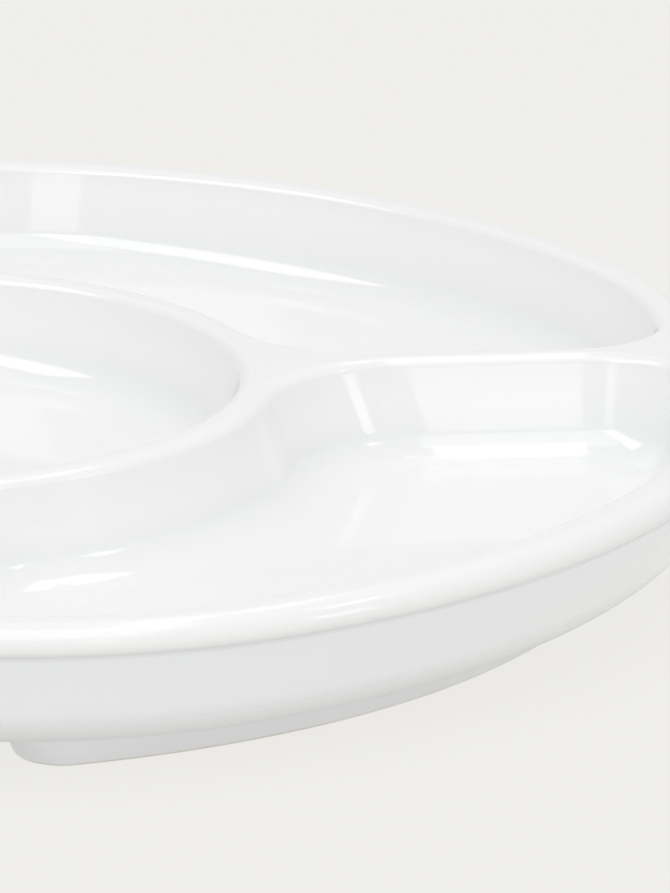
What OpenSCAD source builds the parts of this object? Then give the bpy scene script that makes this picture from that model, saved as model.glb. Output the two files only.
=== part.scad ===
// Divided serving platter: four compartments round a centre well, in white glazed porcelain.
// Millimetres, +Z up. The origin is the centre of the plane that the feet stand on.
// Dividers lie along the X and Y axes, and compartments fill the four quadrants.

/* [Platter] */
// Widest diameter, measured across two opposite lobes
outer_diameter = 300; // [270:5:360]
// Height from the table to the crest of the rim, lip and dividers
height = 29; // [26:0.5:34]
// Height of the foot rings
foot_height = 6; // [5.4:0.2:7]
// Thickness of the floors
floor_thickness = 4.5; // [4:0.5:6]
// Height of the hollows under the floors, above the rest of the underside
hollow_height = 2; // [1.4:0.2:2.6]

/* [Lobed outline] */
// Angle from a divider's axis at which the round outline starts to turn in
shoulder_angle = 23; // [20:0.5:26]
// Radius of that turn, as a share of the platter's radius
shoulder_share = 0.62; // [0.58:0.01:0.66]
// Radius of the hollow at a divider's end, as a share of the platter's radius
notch_share = 0.4; // [0.3:0.05:0.6]

/* [Rim and outer wall] */
// Width of the rolled rim, from its outermost line to the edge of the compartments
rim_width = 5.5; // [5:0.25:7]
// Radius of the roll's upper round
roll_radius = 3.6; // [3:0.1:4]
// Radius of the roll's lower round
roll_under = 1.6; // [1.2:0.1:2]
// Angle through which the lower round turns under the roll
under_turn = 55; // [45:5:60]
// Radius of the cove from the roll to the wall below it
cove_radius = 2.4; // [1.8:0.2:3]
// Lean of the outer wall from vertical
wall_lean = 25; // [22:1:28]
// Radius of the turn from the outer wall to the underside
base_radius = 12; // [10:0.5:13]

/* [Compartments] */
// Radius of the centre well's lip, as a share of the platter's radius
well_share = 0.44; // [0.4:0.01:0.46]
// Flat width left on the crests between two pockets
crest_flat = 1; // [0.6:0.2:2]
// Radius of the rounded pocket edges
edge_radius = 2.2; // [1.8:0.1:3]
// Radius of the fillet between walls and floors
floor_fillet = 7; // [5:0.5:8]
// Radius that floors keep in their corners
floor_corner = 7; // [5:0.5:9]
// Radius, at the crest, of the corners between the well's lip and the dividers
lip_corner = 28; // [24:1:32]
// Spread of the slope from the well's lip to the compartments, against the other walls
lip_spread = 1.6; // [1.3:0.1:1.8]
// Shrinking of those corners down the slope, against the distance in from the crest
lip_tighten = 0.2; // [0.1:0.1:0.5]
// Lean of the pocket walls from vertical
draft = 15; // [10:1:18]

/* [Feet] */
// Outer radius of the foot rings at their top, as a share of the platter's radius
foot_share = 0.865; // [0.85:0.005:0.87]
// Width of a foot ring at its top
foot_ring_width = 10; // [8:0.5:11]
// Distance by which a foot ring draws in from its top to the table
foot_taper = 2.5; // [1.5:0.25:3]
// Distance from a divider's axis to the side of a foot ring at its top
foot_gap = 13; // [12:0.5:18]

/* [Hidden] */

glaze_white = "#F3F3F0";
bare_clay = "#E4DCCD";

// Steps along the arcs of a section
edge_steps = 5;
under_steps = 3;
cove_steps = 2;
// Steps along the arcs of the plan
corner_steps = 6;
shoulder_steps = 5;
lobe_steps = 6;

outer_radius = outer_diameter / 2;
hollow_top = foot_height + hollow_height;
floor_top = hollow_top + floor_thickness;
half_crest = crest_flat / 2;

// Section of a pocket's wall: x runs inward from the pocket's edge, y is height
edge_centre = [0, height - edge_radius];
edge = arc(edge_centre, edge_radius, draft, 90, edge_steps);
toe_height = floor_top + floor_fillet * (1 - sin(draft));
toe_x = edge[0].x + (edge[0].y - toe_height) * tan(draft);
fillet_centre = [toe_x + floor_fillet * cos(draft), floor_top + floor_fillet];
fillet = arc(fillet_centre, floor_fillet, 270, 180 + draft, edge_steps);
// Width of a pocket's sloping border, from its edge to the flat floor
border = fillet_centre.x;
pocket_wall = concat(fillet, edge);

// Section of the outside: x runs inward from the rim's outermost line, y is height
roll_height = height - roll_radius;
roll = arc([roll_radius, roll_height], roll_radius, 90, 180, edge_steps);
under = arc([roll_under, roll_height], roll_under, 180, 180 + under_turn, under_steps);
crease = under[under_steps];
cove = arc(crease - polar(cove_radius, under_turn), cove_radius, under_turn, wall_lean, cove_steps);
wall_top = cove[cove_steps];
base_height = foot_height + base_radius;
wall_height = wall_top.y - base_height + base_radius * sin(wall_lean);
base_centre = [wall_top.x + wall_height * tan(wall_lean) + base_radius * cos(wall_lean), base_height];
base = arc(base_centre, base_radius, 180 + wall_lean, 270, edge_steps);
// Point of a pocket's wall at the crease's height, where the rim and the outer wall divide
seam = [edge[0].x + (edge[0].y - crease.y) * tan(draft), crease.y];

// Radii in the plan
well_edge = outer_radius * well_share - half_crest;
inner_edge = outer_radius * well_share + half_crest;
rim_edge = outer_radius - rim_width;
shoulder_radius = outer_radius * shoulder_share;
pocket_shoulder = shoulder_radius - rim_width;
notch_radius = outer_radius * notch_share;
corner_radius = border + floor_corner;

// Centres of the plan's arcs beside the +X divider
corner_side = half_crest + corner_radius;
lip_side = half_crest + lip_corner;
shoulder = polar(outer_radius - shoulder_radius, shoulder_angle);
corner_reach = pocket_shoulder - corner_radius;
outer_corner = [shoulder.x + leg(corner_reach, shoulder.y - corner_side), corner_side];
notch = [shoulder.x + leg(shoulder_radius + notch_radius, shoulder.y), 0];

// Directions in which the plan's arcs start and end
corner_turn = asin((corner_side - shoulder.y) / corner_reach);
notch_turn = asin(-shoulder.y / (shoulder_radius + notch_radius));
notch_start = asin(half_crest / notch_radius);
lip_turn = asin(lip_side / (inner_edge + lip_corner));
lip_start = asin(half_crest / well_edge);

// Foot rings
foot_radius = outer_radius * foot_share;
foot_inner = inner_edge + border * lip_spread + 8;
foot_side = foot_gap + foot_ring_width;
foot_outer_corner = [leg(foot_radius - foot_ring_width, foot_side), foot_side];
foot_inner_corner = [leg(foot_inner + foot_ring_width, foot_side), foot_side];
foot_outer_turn = asin(foot_side / (foot_radius - foot_ring_width));
foot_inner_turn = asin(foot_side / (foot_inner + foot_ring_width));
// Corner radius of the hollow inside a foot ring
foot_hollow_corner = 0.8;

function polar(radius, angle) = radius * [cos(angle), sin(angle)];
function leg(long_side, other_leg) = sqrt(pow(long_side, 2) - pow(other_leg, 2));
function tail(list) = [for (i = [1:len(list) - 1]) list[i]];
function reversed(list) = [for (i = [len(list) - 1:-1:0]) list[i]];
function arc(centre, radius, from, to, steps) =
    [for (i = [0:steps]) centre + polar(radius, from + (to - from) * i / steps)];

// A quadrant's line, from its half between the +X divider and the diagonal
function both_halves(half) = concat(half, tail([for (point = reversed(half)) [point.y, point.x]]));

// One quadrant of the lobed outline, set in from the rim's outermost line by a distance
function outline(inset) = both_halves(concat(
    arc(notch, notch_radius + inset, 180 - notch_start, 180 + notch_turn, corner_steps),
    tail(arc(shoulder, shoulder_radius - inset, notch_turn, shoulder_angle, shoulder_steps)),
    tail(arc([0, 0], outer_radius - inset, shoulder_angle, 45, lobe_steps))
));

// Outer edge of a compartment, set in from the pocket's edge by a distance
function outer_line(inset) = both_halves(concat(
    arc(outer_corner, corner_radius - inset, -90, corner_turn, corner_steps),
    tail(arc(shoulder, pocket_shoulder - inset, corner_turn, shoulder_angle, shoulder_steps)),
    tail(arc([0, 0], rim_edge - inset, shoulder_angle, 45, lobe_steps))
));

// Inner edge of a compartment, set in from the pocket's edge by a distance
function inner_line(inset) =
    let (
        radius = lip_corner - lip_tighten * inset,
        reach = inner_edge + lip_spread * inset + radius,
        turn = asin((half_crest + inset + radius) / reach)
    )
    both_halves(concat(
        arc(polar(reach, turn), radius, 270, 180 + turn, corner_steps),
        tail(arc([0, 0], inner_edge + lip_spread * inset, turn, 45, lobe_steps))
    ));

// Quadrant of the well's edge, set in from it by a distance
function well_line(inset) = both_halves(concat(
    arc([0, 0], well_edge - inset, lip_start, lip_turn, corner_steps),
    tail(arc([0, 0], well_edge - inset, lip_turn, 45, lobe_steps))
));

// Outline of a foot ring, set in from its outermost line by a distance
function foot_line(inset) = let (turn = foot_ring_width - inset) concat(
    both_halves(concat(
        arc(foot_outer_corner, turn, -90, foot_outer_turn, corner_steps),
        tail(arc([0, 0], foot_radius - inset, foot_outer_turn, 45, lobe_steps))
    )),
    reversed(both_halves(concat(
        arc(foot_inner_corner, turn, 270, 180 + foot_inner_turn, corner_steps),
        tail(arc([0, 0], foot_inner + inset, foot_inner_turn, 45, lobe_steps))
    )))
);

// A quadrant's line repeated round the platter, as one closed outline
function all_round(line) =
    [for (turn = [0:90:270]) for (point = line)
        [point.x * cos(turn) - point.y * sin(turn), point.x * sin(turn) + point.y * cos(turn)]];
function layer(line, level) = [for (point = line) [point.x, point.y, level]];
function loop(line, level) = layer(all_round(line), level);

// Closed ring, whose section runs through the given loops in turn
module band(loops) {
    count = len(loops);
    size = len(loops[0]);
    polyhedron(
        points = [for (one = loops) each one],
        faces = [
            for (k = [0:count - 1]) for (i = [0:size - 1])
                let (here = k * size, next = ((k + 1) % count) * size, j = (i + 1) % size)
                    each [[here + i, next + i, next + j], [here + i, next + j, here + j]]
        ],
        convexity = 8
    );
}

// Closed solid whose flat layers are the given loops, from the lowest up
module stack(loops) {
    count = len(loops);
    size = len(loops[0]);
    polyhedron(
        points = [for (one = loops) each one],
        faces = concat(
            [[for (i = [0:size - 1]) i], [for (i = [size - 1:-1:0]) (count - 1) * size + i]],
            [for (k = [0:count - 2]) for (i = [0:size - 1])
                let (here = k * size, next = here + size, j = (i + 1) % size)
                    [here + i, next + i, next + j, here + j]]
        ),
        convexity = 4
    );
}

// Turns a shape from the first quadrant, or the +X divider, to the place with a number
module at_place(number) {
    rotate([0, 0, 90 * (number - 1)]) children();
}

// Rolled rim, with the outer ends of the crests running into it
module rim() {
    color(glaze_white) band(concat(
        [for (point = concat([seam], edge)) loop(outer_line(point.x), point.y)],
        [for (point = concat(roll, tail(under))) loop(outline(point.x), point.y)]
    ));
}

// Outer wall under the rim
module outer_wall() {
    inside = concat([[border, foot_height]], fillet, [seam]);
    outside = concat(cove, base);
    color(glaze_white) band(concat(
        [for (point = inside) loop(outer_line(point.x), point.y)],
        [for (point = outside) loop(outline(point.x), point.y)]
    ));
}

// Wall and lip of the centre well, with the sides that fall from it to the compartments
module well_wall() {
    side = concat([[border, foot_height]], pocket_wall);
    color(glaze_white) band(concat(
        [for (point = reversed(side)) loop(inner_line(point.x), point.y)],
        [for (point = side) loop(well_line(point.x), point.y)]
    ));
}

// Flat floor of the centre well, over a round hollow in the underside
module well_floor() {
    color(glaze_white) translate([0, 0, hollow_top])
        linear_extrude(floor_thickness) polygon(all_round(well_line(border)));
}

// Straight divider from the well's wall to the outer wall
module divider(number) {
    color(glaze_white) at_place(number) stack([
        for (point = concat([[border, foot_height]], pocket_wall))
            let (start = inner_line(point.x)[0].x, end = outer_corner.x, side = half_crest + point.x)
                [[start, -side, point.y], [end, -side, point.y], [end, side, point.y], [start, side, point.y]]
    ]);
}

// Flat floor of one compartment, over the hollow of its foot ring
module compartment_floor(number) {
    color(glaze_white) at_place(number) difference() {
        translate([0, 0, foot_height]) linear_extrude(hollow_height + floor_thickness)
            polygon(concat(outer_line(border), reversed(inner_line(border))));
        linear_extrude(hollow_top) polygon(foot_line(foot_ring_width - foot_hollow_corner));
    }
}

// Foot ring under one compartment, drawn in towards the table
module foot(number) {
    hollow = foot_line(foot_ring_width - foot_hollow_corner);
    color(bare_clay) at_place(number) band([
        layer(hollow, 0),
        layer(hollow, foot_height),
        layer(foot_line(0), foot_height),
        layer(foot_line(foot_taper), 0)
    ]);
}

rim();
outer_wall();
well_wall();
well_floor();
for (number = [1:4]) {
    divider(number);
    compartment_floor(number);
    foot(number);
}
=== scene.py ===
import math

import bpy
import numpy as np
from mathutils import Matrix, Vector
from mathutils.geometry import tessellate_polygon


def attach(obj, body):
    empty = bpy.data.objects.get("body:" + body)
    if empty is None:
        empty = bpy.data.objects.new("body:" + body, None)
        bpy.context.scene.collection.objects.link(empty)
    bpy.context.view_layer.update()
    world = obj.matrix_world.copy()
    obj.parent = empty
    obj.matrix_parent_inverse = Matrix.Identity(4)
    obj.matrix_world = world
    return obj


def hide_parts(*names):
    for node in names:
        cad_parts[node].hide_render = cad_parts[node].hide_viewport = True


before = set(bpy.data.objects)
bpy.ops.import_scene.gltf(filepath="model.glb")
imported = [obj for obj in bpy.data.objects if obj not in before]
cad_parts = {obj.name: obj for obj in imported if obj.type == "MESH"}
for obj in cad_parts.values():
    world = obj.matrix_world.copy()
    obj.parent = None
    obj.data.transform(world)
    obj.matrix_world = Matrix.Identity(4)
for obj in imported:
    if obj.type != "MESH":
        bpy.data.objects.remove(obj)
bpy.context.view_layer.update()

MM = 0.001

# Sizes in millimetres and turns in degrees, the same as the CAD part's
OUTER_RADIUS = 150
HEIGHT = 29
FOOT_HEIGHT = 6
HOLLOW_TOP = 8
FLOOR_TOP = 12.5
SHOULDER_ANGLE = 23
SHOULDER_RADIUS = 93
NOTCH_RADIUS = 60
RIM_WIDTH = 5.5
ROLL_RADIUS = 3.6
ROLL_UNDER = 1.6
UNDER_TURN = 55
COVE_RADIUS = 2.4
WALL_LEAN = 25
BASE_RADIUS = 12
WELL_LIP = 66
HALF_CREST = 0.5
EDGE_RADIUS = 2.2
FLOOR_FILLET = 7
FLOOR_CORNER = 7
LIP_CORNER = 28
LIP_SPREAD = 1.6
LIP_TIGHTEN = 0.2
DRAFT = 15
FOOT_RADIUS = 129.75
FOOT_RING_WIDTH = 10
FOOT_TAPER = 2.5
FOOT_SIDE = 23
FOOT_BEHIND_SLOPE = 8
FOOT_HOLLOW_CORNER = 0.8

# Soft edges that are finer than the CAD part's: a foot's standing edges and the flare at its top, the
# mouth of the hollow under the well, and the top of the hollow inside a foot
STANDING_EDGE = 1.6
FOOT_FLARE = 1.0
MOUTH_EDGE = 0.8
HOLLOW_EDGE = 0.7
# The CAD's coarser facets fall this far short of the outline's arcs, and the scene stays inside them
FACET_SAG = 0.07

# Steps along the arcs of the sections and of the plan
EDGE_STEPS = 18
BASE_STEPS = 30
SMALL_STEPS = 8
COVE_STEPS = 6
HOLLOW_STEPS = 5
CORNER_STEPS = 32
SHOULDER_STEPS = 22
LOBE_STEPS = 40


def polar(radius, degrees):
    turn = math.radians(degrees)
    return np.array([radius * math.cos(turn), radius * math.sin(turn)])


def leg(long_side, other_leg):
    return math.sqrt(long_side ** 2 - other_leg ** 2)


def arc(centre, radius, start, end, steps):
    turns = np.radians(np.linspace(start, end, steps + 1))
    return np.asarray(centre) + radius * np.column_stack([np.cos(turns), np.sin(turns)])


# Section of a pocket's wall: distance in from the pocket's edge, and height
draft = math.radians(DRAFT)
edge = arc((0, HEIGHT - EDGE_RADIUS), EDGE_RADIUS, DRAFT, 90, EDGE_STEPS)
toe_height = FLOOR_TOP + FLOOR_FILLET * (1 - math.sin(draft))
toe = edge[0, 0] + (edge[0, 1] - toe_height) * math.tan(draft)
border = toe + FLOOR_FILLET * math.cos(draft)
fillet = arc((border, FLOOR_TOP + FLOOR_FILLET), FLOOR_FILLET, 270, 180 + DRAFT, EDGE_STEPS)
pocket_wall = np.vstack([fillet, edge])
border_foot = np.array([[border, FOOT_HEIGHT]])

# Section of the outside: distance in from the rim's outermost line, and height
roll_height = HEIGHT - ROLL_RADIUS
roll = arc((ROLL_RADIUS, roll_height), ROLL_RADIUS, 90, 180, EDGE_STEPS)
under = arc((ROLL_UNDER, roll_height), ROLL_UNDER, 180, 180 + UNDER_TURN, SMALL_STEPS)
crease = under[-1]
cove = arc(crease - polar(COVE_RADIUS, UNDER_TURN), COVE_RADIUS, UNDER_TURN, WALL_LEAN, COVE_STEPS)
base_height = FOOT_HEIGHT + BASE_RADIUS
wall_lean = math.radians(WALL_LEAN)
wall_height = cove[-1, 1] - base_height + BASE_RADIUS * math.sin(wall_lean)
base_middle = cove[-1, 0] + wall_height * math.tan(wall_lean) + BASE_RADIUS * math.cos(wall_lean)
base = arc((base_middle, base_height), BASE_RADIUS, 180 + WALL_LEAN, 270, BASE_STEPS)
# Where the rim and the outer wall meet inside the pockets, level with the crease
seam = np.array([[edge[0, 0] + (edge[0, 1] - crease[1]) * math.tan(draft), crease[1]]])

# Radii, centres and turns of the plan's arcs beside the +X divider
well_edge = WELL_LIP - HALF_CREST
inner_edge = WELL_LIP + HALF_CREST
rim_edge = OUTER_RADIUS - RIM_WIDTH
pocket_shoulder = SHOULDER_RADIUS - RIM_WIDTH
corner_radius = border + FLOOR_CORNER
corner_side = HALF_CREST + corner_radius
lip_side = HALF_CREST + LIP_CORNER
shoulder = polar(OUTER_RADIUS - SHOULDER_RADIUS, SHOULDER_ANGLE)
corner_reach = pocket_shoulder - corner_radius
outer_corner = (shoulder[0] + leg(corner_reach, shoulder[1] - corner_side), corner_side)
notch = (shoulder[0] + leg(SHOULDER_RADIUS + NOTCH_RADIUS, shoulder[1]), 0)
corner_turn = math.degrees(math.asin((corner_side - shoulder[1]) / corner_reach))
notch_turn = math.degrees(math.asin(-shoulder[1] / (SHOULDER_RADIUS + NOTCH_RADIUS)))
notch_start = math.degrees(math.asin(HALF_CREST / NOTCH_RADIUS))
lip_turn = math.degrees(math.asin(lip_side / (inner_edge + LIP_CORNER)))
lip_start = math.degrees(math.asin(HALF_CREST / well_edge))
foot_inner = inner_edge + border * LIP_SPREAD + FOOT_BEHIND_SLOPE


def both_halves(*arcs):
    """A quadrant's line from the arcs of its half beside the +X divider, mirrored over the diagonal."""
    half = np.vstack([arcs[0]] + [after[1:] for after in arcs[1:]])
    return np.vstack([half, half[::-1][1:, ::-1]])


def outline(inset):
    """The rim's outermost line, moved in."""
    inset = inset + FACET_SAG
    return both_halves(
        arc(notch, NOTCH_RADIUS + inset, 180 - notch_start, 180 + notch_turn, CORNER_STEPS),
        arc(shoulder, SHOULDER_RADIUS - inset, notch_turn, SHOULDER_ANGLE, SHOULDER_STEPS),
        arc((0, 0), OUTER_RADIUS - inset, SHOULDER_ANGLE, 45, LOBE_STEPS))


def outer_line(inset):
    """A pocket's edge along the rim, moved into the pocket."""
    return both_halves(
        arc(outer_corner, corner_radius - inset, -90, corner_turn, CORNER_STEPS),
        arc(shoulder, pocket_shoulder - inset, corner_turn, SHOULDER_ANGLE, SHOULDER_STEPS),
        arc((0, 0), rim_edge - inset, SHOULDER_ANGLE, 45, LOBE_STEPS))


def inner_line(inset):
    """A pocket's edge along the well's lip, moved into the pocket, where the slope spreads."""
    radius = LIP_CORNER - LIP_TIGHTEN * inset
    reach = inner_edge + LIP_SPREAD * inset + radius
    turn = math.degrees(math.asin((HALF_CREST + inset + radius) / reach))
    return both_halves(
        arc(polar(reach, turn), radius, 270, 180 + turn, CORNER_STEPS),
        arc((0, 0), inner_edge + LIP_SPREAD * inset, turn, 45, LOBE_STEPS))


def well_line(inset):
    """The well's edge, moved into the well."""
    return both_halves(
        arc((0, 0), well_edge - inset, lip_start, lip_turn, CORNER_STEPS),
        arc((0, 0), well_edge - inset, lip_turn, 45, LOBE_STEPS))


def foot_line(inset):
    """A foot ring's outer line, moved in."""
    corner = FOOT_RING_WIDTH - inset
    far = FOOT_RADIUS - FOOT_RING_WIDTH
    near = foot_inner + FOOT_RING_WIDTH
    far_turn = math.degrees(math.asin(FOOT_SIDE / far))
    near_turn = math.degrees(math.asin(FOOT_SIDE / near))
    return np.vstack([
        both_halves(
            arc((leg(far, FOOT_SIDE), FOOT_SIDE), corner, -90, far_turn, CORNER_STEPS),
            arc((0, 0), FOOT_RADIUS - inset, far_turn, 45, LOBE_STEPS)),
        both_halves(
            arc((leg(near, FOOT_SIDE), FOOT_SIDE), corner, 270, 180 + near_turn, CORNER_STEPS),
            arc((0, 0), foot_inner + inset, near_turn, 45, LOBE_STEPS))[::-1]])


def layer(line, height):
    """Points of a plan line at a height, in metres."""
    return np.column_stack([line, np.full(len(line), height)]) * MM


def plain_mesh(name, points, faces, hidden):
    """Mesh whose faces inside the fired body, where two pieces touch, are marked as joints."""
    mesh = bpy.data.meshes.new(name)
    mesh.from_pydata([tuple(point) for point in points], [], faces)
    mesh.attributes.new("joint", "BOOLEAN", "FACE").data.foreach_set("value", hidden)
    return mesh


def quarter_band(name, loops, joints):
    """One quadrant of a closed band, through loops of (line, height, whether a divider ends in it)."""
    rows = len(loops)
    size = len(loops[0][0]) + 1
    points = []
    for line, height, _ in loops:
        points.append(layer(np.vstack([line, [[-line[0, 1], line[0, 0]]]]), height))
    faces = []
    hidden = []
    for row in range(rows):
        next_row = (row + 1) % rows
        here = row * size
        after = next_row * size
        for i in range(size - 1):
            faces.append((here + i, after + i, after + i + 1, here + i + 1))
            crossing = i == size - 2 and loops[row][2] and loops[next_row][2]
            hidden.append(row in joints or crossing)
    return plain_mesh(name, np.vstack(points), faces, hidden)


def stacked(name, loops, joints, capped=True):
    """Closed solid through whole loops, from the lowest up, with flat ends or joined as a ring."""
    rows = len(loops)
    size = len(loops[0])
    faces = []
    hidden = []
    for row in range(rows - 1 if capped else rows):
        here = row * size
        after = (row + 1) % rows * size
        for i in range(size):
            j = (i + 1) % size
            faces.append((here + i, here + j, after + j, after + i))
            hidden.append((row, i) in joints or row in joints)
    if capped:
        faces += [tuple(reversed(range(size))), tuple(range((rows - 1) * size, rows * size))]
        hidden += [False, False]
    return plain_mesh(name, np.vstack(loops), faces, hidden)


def hex_colour(text):
    """Linear colour of an sRGB hex value."""
    parts = [int(text[i:i + 2], 16) / 255 for i in (1, 3, 5)]
    linear = [part / 12.92 if part <= 0.04045 else ((part + 0.055) / 1.055) ** 2.4 for part in parts]
    return (*linear, 1.0)


def add(tree, kind, inputs=(), **settings):
    """Adds a node with its settings, and links or sets its inputs by name or number."""
    made = tree.nodes.new(kind)
    for name, value in settings.items():
        setattr(made, name, value)
    for socket, value in dict(inputs).items():
        if isinstance(value, bpy.types.NodeSocket):
            tree.links.new(value, made.inputs[socket])
        else:
            made.inputs[socket].default_value = value
    return made


def new_material(name):
    material = bpy.data.materials.new(name)
    material.use_nodes = True
    material.node_tree.nodes.clear()
    return material


# Sockets of a Mix node that mixes colours
FIRST, SECOND, MIXED = 6, 7, 2
GLAZE_IOR = 1.52

# Glazed porcelain: slip-cast white body under a clear gloss glaze, fired. The glaze levels to a wet
# shine with broad, very shallow waves. It gathers in the fillets, where it turns a trace cooler, and
# draws thin over the crests, where the gloss softens and a trace warmer tone shows; that tone is also
# painted darker, most on the crests' sides, as painted shade. Underneath it is duller, and its tone is
# painted greyer there as painted shade.
glaze = new_material("glazed_porcelain")
tree = glaze.node_tree
place = add(tree, "ShaderNodeTexCoord").outputs["Object"]
depth = add(tree, "ShaderNodeAttribute", attribute_name="glaze_depth").outputs["Fac"]
upright = add(tree, "ShaderNodeAttribute", attribute_name="upright").outputs["Fac"]
# Tone drifts over about 70 mm, as on ware that shrinks and settles unevenly in the kiln
drift = add(tree, "ShaderNodeTexNoise",
            {"Vector": place, "Scale": 1 / (70 * MM), "Detail": 2.0}).outputs["Fac"]
body_tone = add(tree, "ShaderNodeMix",
                {"Factor": drift, FIRST: hex_colour("#F3F3F3"), SECOND: hex_colour("#F6F6F6")},
                data_type="RGBA").outputs[MIXED]
gathered = add(tree, "ShaderNodeMapRange",
               {"Value": depth, "From Min": 0.05, "From Max": 0.6, "To Max": 0.6}).outputs[0]
cooler = add(tree, "ShaderNodeMix",
             {"Factor": gathered, FIRST: body_tone, SECOND: hex_colour("#F0F2F3")},
             data_type="RGBA").outputs[MIXED]
# Over a crest the glaze thins, and the crest's sides are painted darker than its top, as painted shade
thinned = add(tree, "ShaderNodeMapRange",
              {"Value": depth, "From Min": -0.1, "From Max": -0.9, "To Max": 0.5}).outputs[0]
# Painted shade: crest parts that face less upward are painted darker than the crest's top
painted_side_shade = add(tree, "ShaderNodeMapRange",
               {"Value": upright, "From Min": 0.95, "From Max": -0.1, "To Min": 0.3}).outputs[0]
thin_glaze_and_painted_shade = add(tree, "ShaderNodeMath", {0: thinned, 1: painted_side_shade}, operation="MULTIPLY").outputs[0]
# Crest tone: partly thin glaze, partly painted shade
crest_tone_with_painted_shade = add(tree, "ShaderNodeMix",
             {"Factor": thin_glaze_and_painted_shade, FIRST: cooler, SECOND: hex_colour("#E7E6E4")},
             data_type="RGBA").outputs[MIXED]
# Underneath, from the turn of the base on, the glaze is duller, and its tone is painted greyer, as painted
# shade on the down-facing surfaces
underside_shade_and_dullness = add(tree, "ShaderNodeMapRange",
              {"Value": upright, "From Min": -0.36, "From Max": -0.94, "To Max": 0.74}).outputs[0]
# Painted shade: down-facing surfaces mixed toward grey
painted_underside_shade_tone = add(tree, "ShaderNodeMix",
             {"Factor": underside_shade_and_dullness, FIRST: crest_tone_with_painted_shade, SECOND: hex_colour("#D8D8D7")},
             data_type="RGBA").outputs[MIXED]
# Pinholes about 0.3 mm wide, some 20 mm apart, much paler than in coarse ware
pinholes = add(tree, "ShaderNodeTexVoronoi", {"Vector": place, "Scale": 1 / (20 * MM)}).outputs["Distance"]
pinhole = add(tree, "ShaderNodeMapRange",
              {"Value": pinholes, "From Min": 0.006, "From Max": 0.011, "To Min": 0.35, "To Max": 0.0})
glaze_tone = add(tree, "ShaderNodeMix",
                 {"Factor": pinhole.outputs[0], FIRST: painted_underside_shade_tone, SECOND: hex_colour("#D9D5CC")},
                 data_type="RGBA").outputs[MIXED]
# Gloss wanders a little over 30 mm, and softens where the glaze is thin
wander = add(tree, "ShaderNodeTexNoise",
             {"Vector": place, "Scale": 1 / (30 * MM), "Detail": 3.0}).outputs["Fac"]
wet = add(tree, "ShaderNodeMapRange",
          {"Value": wander, "From Min": 0.3, "From Max": 0.7, "To Min": 0.04, "To Max": 0.075}).outputs[0]
crest_gloss = add(tree, "ShaderNodeMath", {0: thinned, 1: 0.16, 2: wet}, operation="MULTIPLY_ADD").outputs[0]
glaze_gloss = add(tree, "ShaderNodeMath", {0: underside_shade_and_dullness, 1: 0.75, 2: crest_gloss},
                  operation="MULTIPLY_ADD").outputs[0]
# Waves about 30 mm long and hundredths of a millimetre high, with a finer skin of about 2 mm
waves = add(tree, "ShaderNodeTexNoise",
            {"Vector": place, "Scale": 1 / (30 * MM), "Detail": 0.0}).outputs["Fac"]
skin = add(tree, "ShaderNodeTexNoise",
           {"Vector": place, "Scale": 1 / (2 * MM), "Detail": 1.0}).outputs["Fac"]
wavy = add(tree, "ShaderNodeBump", {"Height": waves, "Strength": 1.0, "Distance": 0.05 * MM}).outputs[0]
level = add(tree, "ShaderNodeBump",
            {"Height": skin, "Strength": 1.0, "Distance": 0.0012 * MM, "Normal": wavy}).outputs[0]
shader = add(tree, "ShaderNodeBsdfPrincipled",
             {"Base Color": glaze_tone, "Roughness": glaze_gloss, "Normal": level, "IOR": GLAZE_IOR})
add(tree, "ShaderNodeOutputMaterial", {"Surface": shader.outputs[0]})

# Foot ring: the same glaze on its sides, painted a little lighter than the body's tone as painted light
# against the shade under the platter, and a standing edge wiped bare before firing and ground
# smooth after, so its lowest half millimetre is matt, faintly gritty biscuit in a warmer white.
foot_glaze = new_material("porcelain_foot_bare_edge")
tree = foot_glaze.node_tree
place = add(tree, "ShaderNodeTexCoord").outputs["Object"]
# Tone drifts over about 50 mm
drift = add(tree, "ShaderNodeTexNoise",
            {"Vector": place, "Scale": 1 / (50 * MM), "Detail": 2.0}).outputs["Fac"]
# Painted light: the sides' tone is set lighter than the glaze body's, to lift the shade under the platter
painted_lighter_side_tone = add(tree, "ShaderNodeMix",
                {"Factor": drift, FIRST: hex_colour("#F7F7F7"), SECOND: hex_colour("#F9F9F9")},
                data_type="RGBA").outputs[MIXED]
# The wiped line wavers by a few tenths of a millimetre, over about 9 mm along the ring
waver = add(tree, "ShaderNodeTexNoise",
            {"Vector": place, "Scale": 1 / (9 * MM), "Detail": 2.0}).outputs["Fac"]
height = add(tree, "ShaderNodeSeparateXYZ", {0: place}).outputs["Z"]
wiped = add(tree, "ShaderNodeMath", {0: waver, 1: -0.6 * MM, 2: height}, operation="MULTIPLY_ADD").outputs[0]
bare = add(tree, "ShaderNodeMapRange",
           {"Value": wiped, "From Min": 0.1 * MM, "From Max": 0.3 * MM,
            "To Min": 1.0, "To Max": 0.0}).outputs[0]
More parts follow.
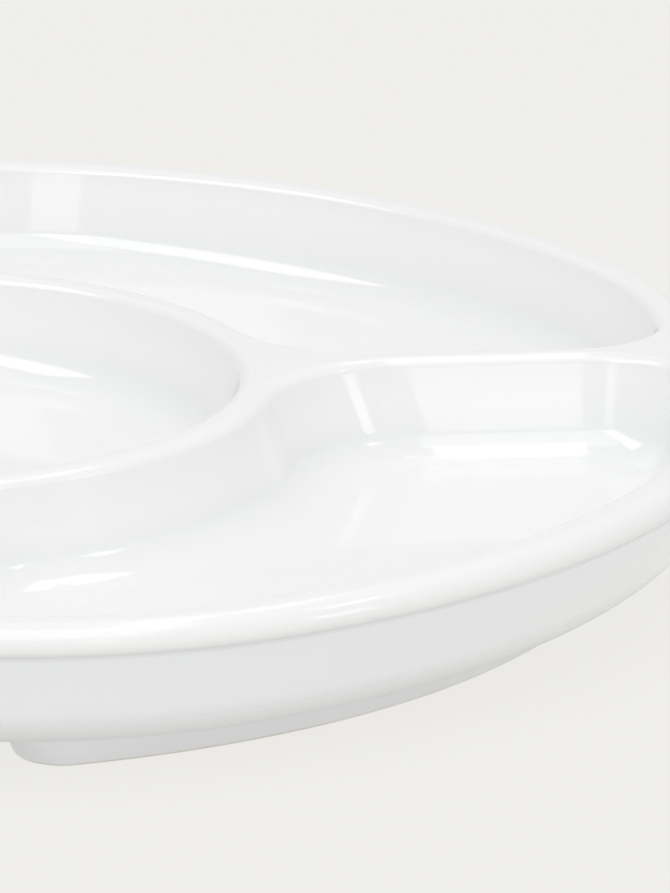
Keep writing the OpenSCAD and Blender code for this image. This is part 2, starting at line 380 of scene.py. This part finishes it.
# Biscuit grit of about 0.4 mm
grit = add(tree, "ShaderNodeTexNoise",
           {"Vector": place, "Scale": 1 / (0.4 * MM), "Detail": 2.0}).outputs["Fac"]
biscuit = add(tree, "ShaderNodeMix",
              {"Factor": grit, FIRST: hex_colour("#E2DCD1"), SECOND: hex_colour("#EFEAE1")},
              data_type="RGBA").outputs[MIXED]
foot_tone = add(tree, "ShaderNodeMix", {"Factor": bare, FIRST: painted_lighter_side_tone, SECOND: biscuit},
                data_type="RGBA").outputs[MIXED]
foot_gloss = add(tree, "ShaderNodeMapRange", {"Value": bare, "To Min": 0.09, "To Max": 0.72}).outputs[0]
rough = add(tree, "ShaderNodeMath", {0: grit, 1: bare}, operation="MULTIPLY").outputs[0]
level = add(tree, "ShaderNodeBump", {"Height": rough, "Strength": 1.0, "Distance": 0.03 * MM}).outputs[0]
shader = add(tree, "ShaderNodeBsdfPrincipled",
             {"Base Color": foot_tone, "Roughness": foot_gloss, "Normal": level, "IOR": GLAZE_IOR})
add(tree, "ShaderNodeOutputMaterial", {"Surface": shader.outputs[0]})

# Geometry Nodes: a quadrant's mesh turned about the platter's axis, from a first quarter, a number of times
quarters = bpy.data.node_groups.new("quarters", "GeometryNodeTree")
sockets = quarters.interface
sockets.new_socket("Geometry", in_out="OUTPUT", socket_type="NodeSocketGeometry")
sockets.new_socket("Quadrant", in_out="INPUT", socket_type="NodeSocketGeometry")
quarter_inputs = {}
for label, kind in (("First Quarter", "NodeSocketInt"), ("Quarters", "NodeSocketInt"),
                    ("Weld Distance", "NodeSocketFloat"), ("Glaze", "NodeSocketMaterial")):
    quarter_inputs[label] = sockets.new_socket(label, in_out="INPUT", socket_type=kind).identifier
given = add(quarters, "NodeGroupInput").outputs
axis = add(quarters, "GeometryNodeMeshLine", {"Count": given["Quarters"], "Offset": (0, 0, 0)}).outputs[0]
index = add(quarters, "GeometryNodeInputIndex").outputs[0]
number = add(quarters, "ShaderNodeMath", {0: index, 1: given["First Quarter"]}, operation="ADD").outputs[0]
angle = add(quarters, "ShaderNodeMath", {0: number, 1: math.pi / 2}, operation="MULTIPLY").outputs[0]
spin = add(quarters, "ShaderNodeCombineXYZ", {"Z": angle}).outputs[0]
round_axis = add(quarters, "GeometryNodeInstanceOnPoints",
                 {"Points": axis, "Instance": given["Quadrant"], "Rotation": spin}).outputs[0]
real = add(quarters, "GeometryNodeRealizeInstances", {0: round_axis}).outputs[0]
welded = add(quarters, "GeometryNodeMergeByDistance",
             {"Geometry": real, "Distance": given["Weld Distance"]}).outputs[0]
glazed = add(quarters, "GeometryNodeSetMaterial",
             {"Geometry": welded, "Material": given["Glaze"]}).outputs[0]
add(quarters, "NodeGroupOutput", {0: glazed})

WELD_DISTANCE = 0.001 * MM


def fired_piece(name, quadrant, material, first=0, count=1):
    """Plain mesh object of a quadrant's mesh, turned to its quarters by the node tree."""
    piece = bpy.data.objects.new(name, quadrant)
    bpy.context.scene.collection.objects.link(piece)
    turned = piece.modifiers.new("quarters", "NODES")
    turned.node_group = quarters
    turned[quarter_inputs["First Quarter"]] = first
    turned[quarter_inputs["Quarters"]] = count
    turned[quarter_inputs["Weld Distance"]] = WELD_DISTANCE
    turned[quarter_inputs["Glaze"]] = material
    evaluated = piece.evaluated_get(bpy.context.evaluated_depsgraph_get())
    mesh = bpy.data.meshes.new_from_object(evaluated)
    piece.modifiers.clear()
    piece.data = mesh
    mesh.name = name
    return piece


# Rim: rolled edge from the seam inside the pockets, over the crest, to the crease outside
loops = [(outer_line(x), z, True) for x, z in np.vstack([seam, edge])]
loops += [(outline(x), z, False) for x, z in np.vstack([roll, under[1:]])]
rim = fired_piece("platter_rim", quarter_band("rim_quarter", loops, {len(loops) - 1}), glaze, count=4)

# Outer wall: fillet and wall inside, leaning wall and turned base outside
loops = [(outer_line(x), z, True) for x, z in np.vstack([border_foot, fillet, seam])]
top = len(loops) - 1
loops += [(outline(x), z, False) for x, z in np.vstack([cove, base])]
wall = fired_piece("platter_wall", quarter_band("wall_quarter", loops, {0, top}), glaze, count=4)

# Well: slope from the compartments up to the lip, down the well's wall, and a soft-edged hollow below
mouth_middle = (border - MOUTH_EDGE, FOOT_HEIGHT + MOUTH_EDGE)
mouth = arc(mouth_middle, MOUTH_EDGE, 270, 360, COVE_STEPS)
loops = [(inner_line(x), z, True) for x, z in np.vstack([pocket_wall[::-1], border_foot])]
joints = {len(loops) - 2}
loops += [(well_line(x), z, False) for x, z in np.vstack([mouth, [[border, HOLLOW_TOP]]])]
joints.add(len(loops) - 1)
loops += [(well_line(x), z, False) for x, z in pocket_wall]
well = fired_piece("well_lip", quarter_band("well_quarter", loops, joints), glaze, count=4)

# Well floor: disc over the hollow
ring = np.vstack([well_line(border) @ np.array(((math.cos(t), math.sin(t)), (-math.sin(t), math.cos(t))))
                  for t in np.radians((0, 90, 180, 270))])
disc = stacked("well_floor", [layer(ring, HOLLOW_TOP), layer(ring, FLOOR_TOP)], {0})
well_floor = fired_piece("well_floor_disc", disc, glaze)

# Divider: straight wall, with ends cut to the slopes that it runs into
loops = []
end = outer_corner[0]
for x, z in np.vstack([border_foot, pocket_wall]):
    start = inner_line(x)[0, 0]
    side = HALF_CREST + x
    loops.append(layer(np.array([[start, -side], [end, -side], [end, side], [start, side]]), z))
ends = {(row, i) for row in range(len(loops) - 1) for i in (1, 3)} | {(0, 0), (0, 2)}
divider = stacked("divider", loops, ends)

# Foot ring: standing face with rounded edges, sides that draw in, and a flare out of the underside
ring_wall = FOOT_RING_WIDTH - FOOT_HOLLOW_CORNER
taper = math.atan2(FOOT_TAPER, FOOT_HEIGHT)
slack = STANDING_EDGE * (1 - math.sin(taper)) / math.cos(taper)
flare_drop = (FOOT_HEIGHT - FOOT_FLARE) * math.sin(taper)
flare = FOOT_TAPER - (FOOT_FLARE + flare_drop) / math.cos(taper)
taper_turn = math.degrees(taper)
section = np.vstack([
    [[ring_wall, FOOT_HEIGHT]],
    arc((ring_wall - STANDING_EDGE, STANDING_EDGE), STANDING_EDGE, 360, 270, SMALL_STEPS),
    arc((FOOT_TAPER + slack, STANDING_EDGE), STANDING_EDGE, 270, 180 + taper_turn, SMALL_STEPS),
    arc((flare, FOOT_HEIGHT - FOOT_FLARE), FOOT_FLARE, taper_turn, 90, SMALL_STEPS)])
foot_loops = [layer(foot_line(x), z) for x, z in section]
foot = stacked("foot", foot_loops, {len(section) - 1}, capped=False)

# Compartment floor: flat plate, hollowed from below inside its foot ring
plate = np.vstack([outer_line(border), inner_line(border)[::-1]])
seat = foot_line(flare)
hollow = arc((ring_wall + HOLLOW_EDGE, HOLLOW_TOP - HOLLOW_EDGE), HOLLOW_EDGE, 180, 90, HOLLOW_STEPS)
levels = [layer(plate, FLOOR_TOP), layer(plate, FOOT_HEIGHT), layer(seat, FOOT_HEIGHT)]
levels += [layer(foot_line(x), z) for x, z in np.vstack([[[ring_wall, FOOT_HEIGHT]], hollow])]
points = np.vstack(levels)
begins = [int(begin) for begin in np.cumsum([0] + [len(one) for one in levels])]
# The plate's top and sides
faces = [tuple(range(len(plate)))]
hidden = [False]
for i in range(len(plate)):
    j = (i + 1) % len(plate)
    faces.append((i, len(plate) + i, len(plate) + j, j))
    hidden.append(True)
# The underside round the foot, turned to face down
for triangle in tessellate_polygon([[Vector(point) for point in line] for line in levels[1:3]]):
    corners = [len(plate) + k for k in triangle]
    a, b, c = (Vector(points[k]) for k in corners)
    faces.append(tuple(reversed(corners) if (b - a).cross(c - a).z > 0 else corners))
    hidden.append(False)
# The foot's seat, which is a joint, and the hollow inside it
for row in range(2, len(levels) - 1):
    here = begins[row]
    after = begins[row + 1]
    for i in range(len(seat)):
        j = (i + 1) % len(seat)
        faces.append((here + i, after + i, after + j, here + j))
        hidden.append(row == 2)
faces.append(tuple(reversed(range(begins[-2], begins[-1]))))
hidden.append(False)
floor_plate = plain_mesh("floor", points, faces, hidden)

dividers = [fired_piece(f"divider_wall_{k + 1}", divider.copy(), glaze, k) for k in range(4)]
floors = [fired_piece(f"compartment_floor_{k + 1}", floor_plate.copy(), glaze, k) for k in range(4)]
feet = [fired_piece(f"foot_ring_{k + 1}", foot.copy(), foot_glaze, k) for k in range(4)]
pieces = [rim, wall, well, well_floor, *dividers, *floors, *feet]

# Corners closer than this, in metres, are one spot. The shift keeps round numbers off the rounding's steps.
SPOT_SIZE = 0.002 * MM
SPOT_SHIFT = 0.31
# Faces whose normals have a product above this are one smooth skin
SAME_SKIN = 0.8
# A bend of this radius, in metres, gathers or thins the glaze in full
FULL_BEND = 5 * MM


def read_corners(mesh):
    """Each face corner's place, face normal, face area, whether its face is a joint, and the next corner."""
    count = len(mesh.loops)
    spots = np.zeros(count, np.int64)
    mesh.loops.foreach_get("vertex_index", spots)
    points = np.zeros(len(mesh.vertices) * 3)
    mesh.vertices.foreach_get("co", points)
    sizes = np.zeros(len(mesh.polygons), np.int64)
    mesh.polygons.foreach_get("loop_total", sizes)
    normals = np.zeros(len(mesh.polygons) * 3)
    mesh.polygons.foreach_get("normal", normals)
    areas = np.zeros(len(mesh.polygons))
    mesh.polygons.foreach_get("area", areas)
    joint = np.zeros(len(mesh.polygons), bool)
    mesh.attributes["joint"].data.foreach_get("value", joint)
    face = np.repeat(np.arange(len(sizes)), sizes)
    starts = np.repeat(np.cumsum(sizes) - sizes, sizes)
    after = starts + (np.arange(count) - starts + 1) % np.repeat(sizes, sizes)
    return points.reshape(-1, 3)[spots], normals.reshape(-1, 3)[face], areas[face], joint[face], after


def share_shading(pieces):
    """Gives neighbouring pieces one normal where their skins meet, because the platter is one fired body.
    Large faces lead, so flat floors stay flat. Also notes where the glaze gathers (+) or thins (-), and
    how far each spot faces up (+) or down (-)."""
    found = [read_corners(piece.data) for piece in pieces]
    firsts = np.cumsum([0] + [len(one[0]) for one in found])
    place, normal, area, joint = (np.concatenate(part) for part in list(zip(*found))[:4])
    after = np.concatenate([one[4] + first for one, first in zip(found, firsts)])

    cells = np.round(place / SPOT_SIZE + SPOT_SHIFT).astype(np.int64)
    spot = np.unique(cells, axis=0, return_inverse=True)[1].ravel()
    order = np.argsort(spot, kind="stable")
    smooth = normal.copy()
    for group in np.split(order, np.flatnonzero(np.diff(spot[order])) + 1):
        skins = group[~joint[group]]
        if len(skins) > 1:
            near = (normal[skins] @ normal[skins].T) > SAME_SKIN
            smooth[skins] = near @ (normal[skins] * area[skins, None])
    smooth /= np.linalg.norm(smooth, axis=1)[:, None]

    along = place[after] - place
    bend = ((smooth[after] - smooth) * along).sum(1) / np.maximum((along ** 2).sum(1), 1e-14)
    bend[joint] = 0
    spots = spot.max() + 1
    total = np.bincount(spot, bend, spots) + np.bincount(spot[after], bend, spots)
    shares = np.bincount(spot, ~joint, spots) + np.bincount(spot[after], ~joint, spots)
    gather = np.clip(-total / np.maximum(shares, 1) * FULL_BEND, -1, 1)[spot]

    for piece, first in zip(pieces, firsts):
        mesh = piece.data
        here = slice(first, first + len(mesh.loops))
        mesh.polygons.foreach_set("use_smooth", np.ones(len(mesh.polygons), bool))
        mesh.normals_split_custom_set(smooth[here])
        mesh.attributes.new("glaze_depth", "FLOAT", "CORNER").data.foreach_set("value", gather[here])
        mesh.attributes.new("upright", "FLOAT", "CORNER").data.foreach_set("value", smooth[here, 2])


share_shading(pieces)

nodes = ["rim", "outer_wall", "well_wall", "well_floor"]
nodes += [f"{kind}_{k}" for kind in ("divider", "floor", "foot") for k in range(1, 5)]
for piece, node in zip(pieces, nodes):
    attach(piece, "root")
    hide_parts(node)

# Studio table: pale matt sheet, as for catalogue shots, with a faint fibre tone of about 3 mm. To the
# camera and in the glaze it is a backdrop that shows mostly its own colour, and takes the lamps' light for
# the rest, so a soft shadow stays under the platter. As a source of light it is neutral and glows less.
BACKDROP_GLOW = 0.9
BOUNCE_GLOW = 0.38
TABLE_REACH = 4
sheet = new_material("lit_table_sheet")
tree = sheet.node_tree
place = add(tree, "ShaderNodeTexCoord").outputs["Object"]
path = add(tree, "ShaderNodeLightPath").outputs
direct = add(tree, "ShaderNodeMath", {0: path["Is Camera Ray"], 1: path["Is Glossy Ray"]},
             operation="ADD").outputs[0]
seen = add(tree, "ShaderNodeMath", {0: direct, 1: path["Is Transmission Ray"]},
           operation="ADD", use_clamp=True).outputs[0]
fibre = add(tree, "ShaderNodeTexNoise",
            {"Vector": place, "Scale": 1 / (3 * MM), "Detail": 3.0}).outputs["Fac"]
fibre_tone = add(tree, "ShaderNodeMix",
                 {"Factor": fibre, FIRST: hex_colour("#EFEEEA"), SECOND: hex_colour("#F1F0EC")},
                 data_type="RGBA").outputs[MIXED]
tone = add(tree, "ShaderNodeMix", {"Factor": seen, FIRST: hex_colour("#F0F0F0"), SECOND: fibre_tone},
           data_type="RGBA").outputs[MIXED]
matt = add(tree, "ShaderNodeBsdfDiffuse", {"Color": tone}).outputs[0]
glow = add(tree, "ShaderNodeEmission", {"Color": tone}).outputs[0]
share = add(tree, "ShaderNodeMath", {0: seen, 1: BACKDROP_GLOW - BOUNCE_GLOW, 2: BOUNCE_GLOW},
            operation="MULTIPLY_ADD").outputs[0]
mixed = add(tree, "ShaderNodeMixShader", {0: share, 1: matt, 2: glow}).outputs[0]
add(tree, "ShaderNodeOutputMaterial", {"Surface": mixed})
table = bpy.data.meshes.new("table")
corners = [(x * TABLE_REACH, y * TABLE_REACH, 0) for x, y in ((-1, -1), (1, -1), (1, 1), (-1, 1))]
table.from_pydata(corners, [], [(0, 1, 2, 3)])
table.materials.append(sheet)
floor = bpy.data.objects.new("table", table)
bpy.context.scene.collection.objects.link(floor)

# Studio light: a pale room all round, and soft boxes with their brightness against white
ROOM_LIGHT = 0.795
CARD_HEIGHT = 1.5
scene = bpy.context.scene
world = bpy.data.worlds.new("studio")
scene.world = world
world.use_nodes = True
tree = world.node_tree
tree.nodes.clear()
room = add(tree, "ShaderNodeBackground", {"Color": hex_colour("#FFFFFF"), "Strength": ROOM_LIGHT})
add(tree, "ShaderNodeOutputWorld", {"Surface": room.outputs[0]})


def soft_box(name, place, width, length, bright, diffuse=True):
    """Rectangular soft box aimed at the platter, whose face is this many times as bright as white."""
    lamp = bpy.data.lights.new(name, "AREA")
    lamp.shape = "RECTANGLE"
    lamp.size = width
    lamp.size_y = length
    lamp.energy = bright * math.pi * width * length
    held = bpy.data.objects.new(name, lamp)
    scene.collection.objects.link(held)
    held.location = place
    held.rotation_euler = held.location.to_track_quat("Z", "Y").to_euler()
    held.visible_diffuse = diffuse
    return held


def compass(azimuth, elevation, distance):
    """Place at an azimuth to the right of the camera's side of the platter (-Y), and an elevation."""
    turn = math.radians(azimuth)
    rise = math.radians(elevation)
    level_part = Vector((math.sin(turn), -math.cos(turn), 0)) * math.cos(rise)
    return distance * (level_part + Vector((0, 0, math.sin(rise))))


def ceiling_card(name, left, right, front, back, bright):
    """Level card above the table, seen only in the glaze's reflections, from its edges in metres."""
    middle = ((left + right) / 2, (front + back) / 2, CARD_HEIGHT)
    card = soft_box(name, middle, right - left, back - front, bright, False)
    card.rotation_euler = (0, 0, 0)


soft_box("key", compass(-6, 60, 1.75), 1.5, 1.5, 1.3)
# Cards that draw the glaze's highlights: three low panes behind the camera, and four cards overhead
soft_box("low_pane_middle", (0.47, -2.45, 0.78), 0.24, 0.84, 1.25, False)
soft_box("low_pane_right", (2.0, -1.35, 0.71), 0.35, 0.52, 2.2, False)
soft_box("low_pane_left", (-1.02, -2.02, 0.66), 0.5, 0.6, 1.3, False)
ceiling_card("card_left", -1.6, -0.75, -2.1, 0.45, 2.9)
ceiling_card("card_middle", 0.28, 0.44, -0.5, 0.8, 2.2)
ceiling_card("card_back", 0.47, 0.62, 0.55, 1.2, 2.0)
ceiling_card("card_right", 1.22, 1.5, -0.55, -0.18, 3.0)

# Camera, from its fit to the platter's rim, crease, lip and foot lines in the photograph, with its place
# in millimetres and its turns in degrees
FOCAL_PIXELS = 8000
IMAGE_HEIGHT = 893
SENSOR = 36
CAMERA_PLACE = (-83.88, -1288.24, 393.31)
YAW, PITCH, ROLL = 7.257, 16.312, 0.317
lens = bpy.data.cameras.new("camera")
lens.lens = FOCAL_PIXELS * SENSOR / IMAGE_HEIGHT
lens.clip_end = 20
camera = bpy.data.objects.new("camera", lens)
scene.collection.objects.link(camera)
yaw, pitch, tilt = (math.radians(value) for value in (YAW, PITCH, ROLL))
forward = Vector((math.sin(yaw) * math.cos(pitch), math.cos(yaw) * math.cos(pitch), -math.sin(pitch)))
right = Vector((math.cos(yaw), -math.sin(yaw), 0))
up = right.cross(forward)
across = right * math.cos(tilt) + up * math.sin(tilt)
upward = up * math.cos(tilt) - right * math.sin(tilt)
turned = Matrix((across, upward, -forward)).transposed().to_4x4()
camera.matrix_world = Matrix.Translation(Vector(CAMERA_PLACE) * MM) @ turned
scene.camera = camera

scene.view_settings.view_transform = "Standard"
bpy.context.view_layer.update()
